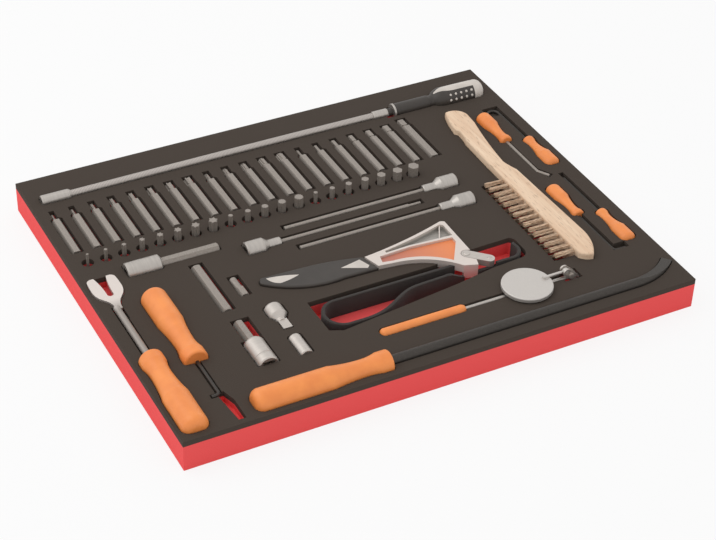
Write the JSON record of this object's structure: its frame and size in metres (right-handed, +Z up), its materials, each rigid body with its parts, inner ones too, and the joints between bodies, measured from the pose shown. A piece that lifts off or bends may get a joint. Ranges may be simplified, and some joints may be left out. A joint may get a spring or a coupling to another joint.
{
  "type": "foam tool insert",
  "caption": "Two-colour foam tray with cut-out pockets, holding bits, sockets, pry tools, picks, a wire brush, an inspection mirror, a strap wrench and a flexible nut driver.",
  "frame": {"origin": "middle of the foam's underside", "axes": "+X along the long edge to the right, +Y to the back edge with the nut driver, +Z up out of the foam"},
  "size_m": [0.55, 0.444, 0.0476],
  "materials": {
    "red_foam": "matte",
    "black_foam": "matte",
    "chrome": "polished",
    "steel": "satin",
    "black_steel": "satin",
    "orange_plastic": "satin",
    "black_plastic": "satin",
    "silver_plastic": "satin",
    "cast_metal": "satin",
    "webbing": "matte",
    "beech": "satin",
    "mirror_glass": "polished"
  },
  "bodies": {
    "foam": {"foam_base": "red_foam", "foam_top": "black_foam"},
    "driver_tool": {"driver_sleeve": "chrome", "driver_flex_shaft": "steel", "driver_ferrule": "chrome", "driver_collar": "chrome", "driver_grip": "black_plastic", "driver_end_cap": "silver_plastic"},
    "long_star_set": {"long_star_bits": "steel"},
    "long_spline_set": {"long_spline_bits": "steel"},
    "long_hex_set": {"long_hex_bits": "steel"},
    "short_star_set": {"short_star_bits": "steel"},
    "short_spline_set": {"short_spline_bits": "steel"},
    "short_hex_set": {"short_hex_bits": "steel"},
    "rod_tool_a": {"rod_socket_a": "chrome", "rod_a": "steel"},
    "rod_tool_b": {"rod_socket_b": "chrome", "rod_b": "steel"},
    "rod_tool_c": {"rod_socket_c": "chrome", "rod_c": "steel"},
    "bar_tool": {"bar_socket": "chrome", "bar_socket_bar": "steel"},
    "plain_bit_tool": {"plain_bit": "steel"},
    "short_adapter_tool": {"short_adapter": "steel"},
    "step_adapter_tool": {"step_adapter": "chrome"},
    "small_socket_tool": {"small_socket": "chrome"},
    "big_socket_tool": {"big_socket": "chrome", "big_socket_bit": "steel"},
    "fork_tool": {"fork": "steel", "fork_handle": "orange_plastic"},
    "lifter_tool": {"lifter": "black_steel", "lifter_handle": "orange_plastic"},
    "pry_tool": {"pry_bar": "black_steel", "pry_handle": "orange_plastic"},
    "angled_pick_tool": {"angled_pick": "steel", "angled_pick_handle": "orange_plastic"},
    "hook_pick_tool": {"hook_pick": "steel", "hook_pick_handle": "orange_plastic"},
    "square_pick_tool": {"square_pick": "steel", "square_pick_handle": "orange_plastic"},
    "straight_pick_tool": {"straight_pick": "steel", "straight_pick_handle": "orange_plastic"},
    "brush_tool": {"brush_handle": "beech", "brush_tufts": "steel"},
    "mirror_tool": {"mirror_grip": "orange_plastic", "mirror_rod": "chrome"},
    "mirror_clamp": {"mirror_link": "chrome", "mirror_screw": "chrome"},
    "mirror_head": {"mirror_disc": "chrome", "mirror_glass": "mirror_glass"},
    "wrench_tool": {"wrench_head": "cast_metal", "wrench_web": "orange_plastic", "wrench_pin": "steel", "wrench_end_inset": "silver_plastic", "wrench_neck_inset": "silver_plastic", "wrench_handle": "black_plastic", "wrench_strap": "webbing"},
    "wrench_lever": {"wrench_link": "cast_metal"}
  },
  "joints": [
    {"name": "driver_tool_lift", "type": "slide", "parent": "foam", "child": "driver_tool", "axis": [0, 0, 1], "range_m": [0, 0.06]},
    {"name": "long_star_set_lift", "type": "slide", "parent": "foam", "child": "long_star_set", "axis": [0, 0, 1], "range_m": [0, 0.06]},
    {"name": "long_spline_set_lift", "type": "slide", "parent": "foam", "child": "long_spline_set", "axis": [0, 0, 1], "range_m": [0, 0.06]},
    {"name": "long_hex_set_lift", "type": "slide", "parent": "foam", "child": "long_hex_set", "axis": [0, 0, 1], "range_m": [0, 0.06]},
    {"name": "short_star_set_lift", "type": "slide", "parent": "foam", "child": "short_star_set", "axis": [0, 0, 1], "range_m": [0, 0.06]},
    {"name": "short_spline_set_lift", "type": "slide", "parent": "foam", "child": "short_spline_set", "axis": [0, 0, 1], "range_m": [0, 0.06]},
    {"name": "short_hex_set_lift", "type": "slide", "parent": "foam", "child": "short_hex_set", "axis": [0, 0, 1], "range_m": [0, 0.06]},
    {"name": "rod_tool_a_lift", "type": "slide", "parent": "foam", "child": "rod_tool_a", "axis": [0, 0, 1], "range_m": [0, 0.06]},
    {"name": "rod_tool_b_lift", "type": "slide", "parent": "foam", "child": "rod_tool_b", "axis": [0, 0, 1], "range_m": [0, 0.06]},
    {"name": "rod_tool_c_lift", "type": "slide", "parent": "foam", "child": "rod_tool_c", "axis": [0, 0, 1], "range_m": [0, 0.06]},
    {"name": "bar_tool_lift", "type": "slide", "parent": "foam", "child": "bar_tool", "axis": [0, 0, 1], "range_m": [0, 0.06]},
    {"name": "plain_bit_tool_lift", "type": "slide", "parent": "foam", "child": "plain_bit_tool", "axis": [0, 0, 1], "range_m": [0, 0.06]},
    {"name": "short_adapter_tool_lift", "type": "slide", "parent": "foam", "child": "short_adapter_tool", "axis": [0, 0, 1], "range_m": [0, 0.06]},
    {"name": "step_adapter_tool_lift", "type": "slide", "parent": "foam", "child": "step_adapter_tool", "axis": [0, 0, 1], "range_m": [0, 0.06]},
    {"name": "small_socket_tool_lift", "type": "slide", "parent": "foam", "child": "small_socket_tool", "axis": [0, 0, 1], "range_m": [0, 0.06]},
    {"name": "big_socket_tool_lift", "type": "slide", "parent": "foam", "child": "big_socket_tool", "axis": [0, 0, 1], "range_m": [0, 0.06]},
    {"name": "fork_tool_lift", "type": "slide", "parent": "foam", "child": "fork_tool", "axis": [0, 0, 1], "range_m": [0, 0.06]},
    {"name": "lifter_tool_lift", "type": "slide", "parent": "foam", "child": "lifter_tool", "axis": [0, 0, 1], "range_m": [0, 0.06]},
    {"name": "pry_tool_lift", "type": "slide", "parent": "foam", "child": "pry_tool", "axis": [0, 0, 1], "range_m": [0, 0.06]},
    {"name": "angled_pick_tool_lift", "type": "slide", "parent": "foam", "child": "angled_pick_tool", "axis": [0, 0, 1], "range_m": [0, 0.06]},
    {"name": "hook_pick_tool_lift", "type": "slide", "parent": "foam", "child": "hook_pick_tool", "axis": [0, 0, 1], "range_m": [0, 0.06]},
    {"name": "square_pick_tool_lift", "type": "slide", "parent": "foam", "child": "square_pick_tool", "axis": [0, 0, 1], "range_m": [0, 0.06]},
    {"name": "straight_pick_tool_lift", "type": "slide", "parent": "foam", "child": "straight_pick_tool", "axis": [0, 0, 1], "range_m": [0, 0.06]},
    {"name": "brush_tool_lift", "type": "slide", "parent": "foam", "child": "brush_tool", "axis": [0, 0, 1], "range_m": [0, 0.06]},
    {"name": "mirror_tool_lift", "type": "slide", "parent": "foam", "child": "mirror_tool", "axis": [0, 0, 1], "range_m": [0, 0.06]},
    {"name": "wrench_tool_lift", "type": "slide", "parent": "foam", "child": "wrench_tool", "axis": [0, 0, 1], "range_m": [0, 0.06]},
    {"name": "mirror_clamp_hinge", "type": "hinge", "parent": "mirror_tool", "child": "mirror_clamp", "pos_m": [0.1698, -0.162, 0.0315], "axis": [0, 1, 0], "range_deg": [0, 60]},
    {"name": "mirror_head_hinge", "type": "hinge", "parent": "mirror_clamp", "child": "mirror_head", "pos_m": [0.15983, -0.162, 0.0406], "axis": [0, 1, 0], "range_deg": [0, 120]},
    {"name": "wrench_lever_hinge", "type": "hinge", "parent": "wrench_tool", "child": "wrench_lever", "pos_m": [0.088, -0.092, 0.0345], "axis": [0, 0, 1], "range_deg": [0, 25]}
  ]
}
